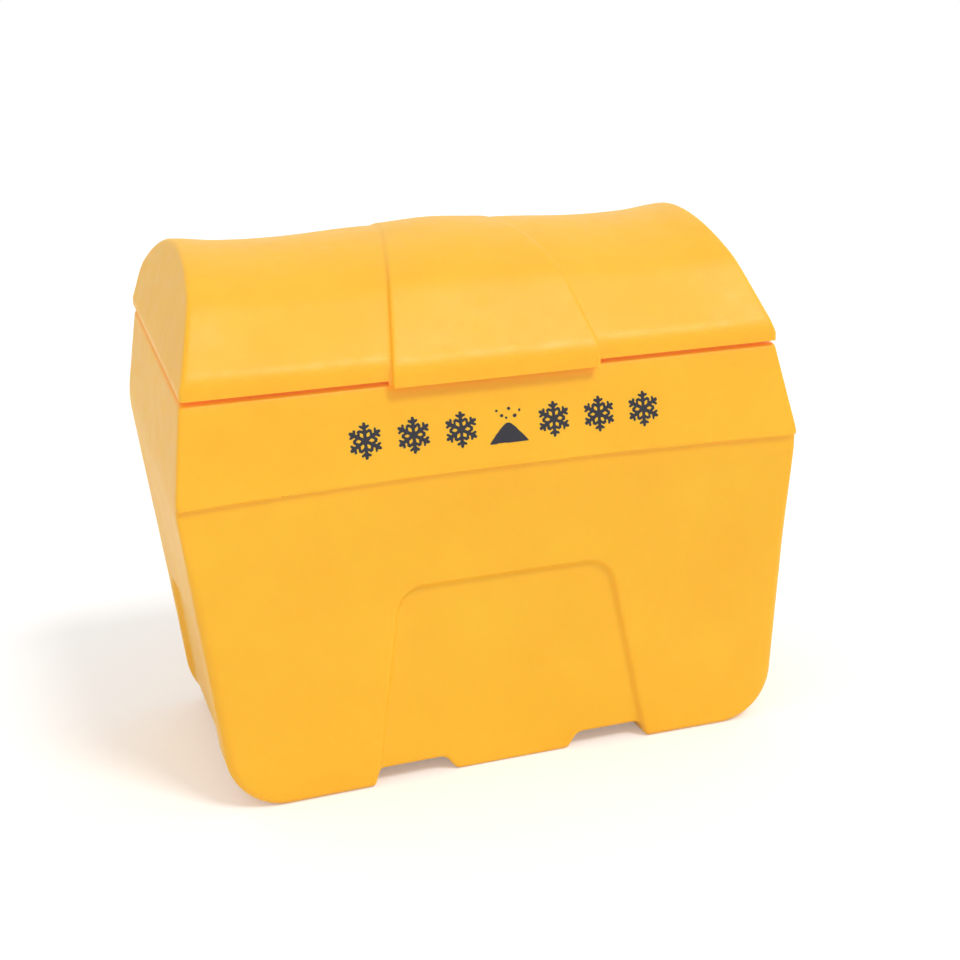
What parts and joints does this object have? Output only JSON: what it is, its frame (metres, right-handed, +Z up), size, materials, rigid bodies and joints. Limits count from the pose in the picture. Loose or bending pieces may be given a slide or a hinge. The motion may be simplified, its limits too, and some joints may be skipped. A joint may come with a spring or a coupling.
{
  "type": "grit salt bin",
  "caption": "Roadside grit and salt bin: tapered moulded tub on three feet with fork channels, and a domed lid with a front lip on two rear bolt hinges.",
  "frame": {"origin": "middle of the footprint on the ground: half-way between the ledge along the front and the noses of the rear hinges", "axes": "+X along the bin's length to the right as seen from the front, +Y to the rear, +Z up"},
  "size_m": [1.0262, 0.594, 0.855],
  "materials": {
    "yellow_polyethylene": "rotomoulded polyethylene, fine orange-peel texture, low sheen",
    "stainless_steel": "plain machined",
    "white_nylon": "natural nylon",
    "dark_vinyl": "cut vinyl film of the symbols on the front band"
  },
  "bodies": {
    "tub": {"tub": "yellow_polyethylene", "hinge_bolt_left": "stainless_steel", "hinge_nut_left": "stainless_steel", "hinge_washers_left": "stainless_steel", "hinge_bolt_right": "stainless_steel", "hinge_nut_right": "stainless_steel", "hinge_washers_right": "stainless_steel"},
    "lid": {"lid": "yellow_polyethylene", "knuckle_bush_left": "white_nylon", "knuckle_bush_right": "white_nylon"}
  },
  "joints": [
    {"name": "lid_hinge", "type": "hinge", "parent": "tub", "child": "lid", "pos_m": [0, 0.282, 0.7], "axis": [-1, 0, 0], "range_deg": [0, 105]}
  ]
}
